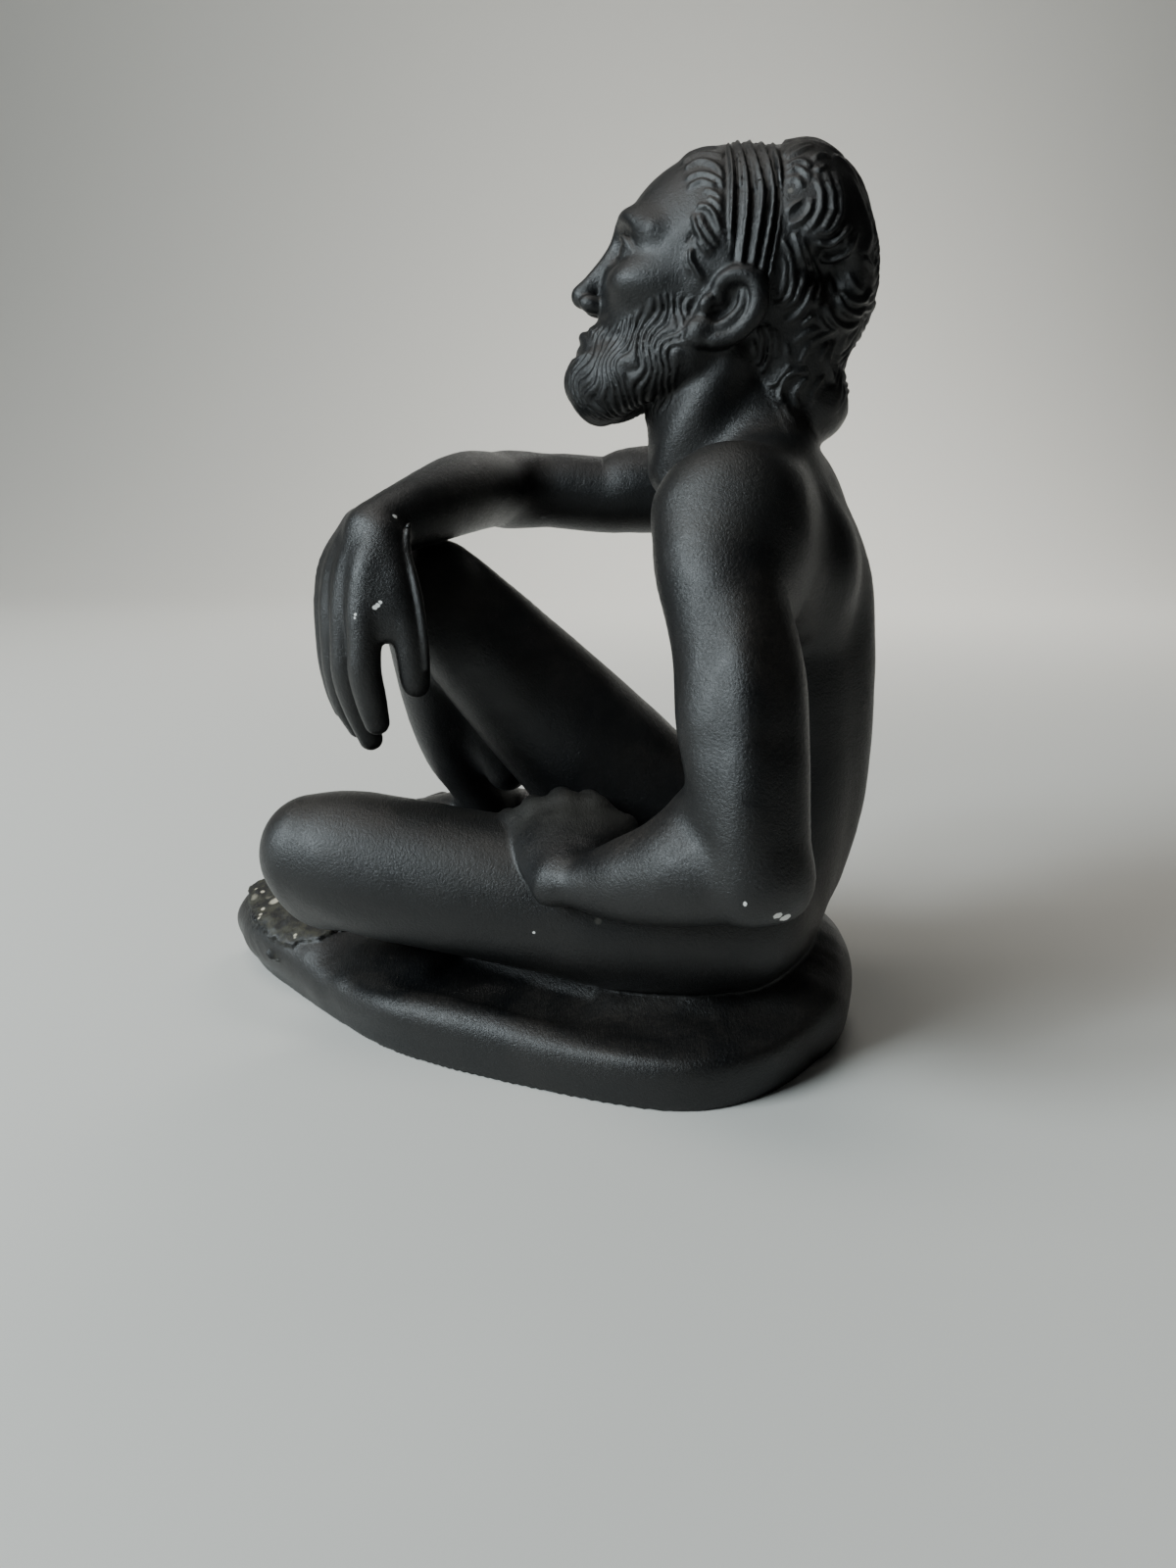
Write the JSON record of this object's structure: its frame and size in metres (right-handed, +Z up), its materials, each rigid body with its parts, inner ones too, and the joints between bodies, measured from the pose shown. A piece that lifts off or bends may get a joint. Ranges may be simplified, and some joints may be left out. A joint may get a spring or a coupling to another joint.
{
  "type": "seated figure figurine",
  "caption": "Cast black figurine of a seated, bearded man with a wound headband, one knee raised and his forearm resting on it, on a low rock base.",
  "frame": {"origin": "middle of the underside of the whole figurine's box", "axes": "+Z up, the figure looks towards -X, and his left side is towards -Y"},
  "size_m": [0.171, 0.143, 0.209],
  "materials": {
    "painted_cast": "black satin paint over a white cast body, chipped in places"
  },
  "bodies": {
    "root": {"figurine": "painted_cast"}
  },
  "joints": []
}
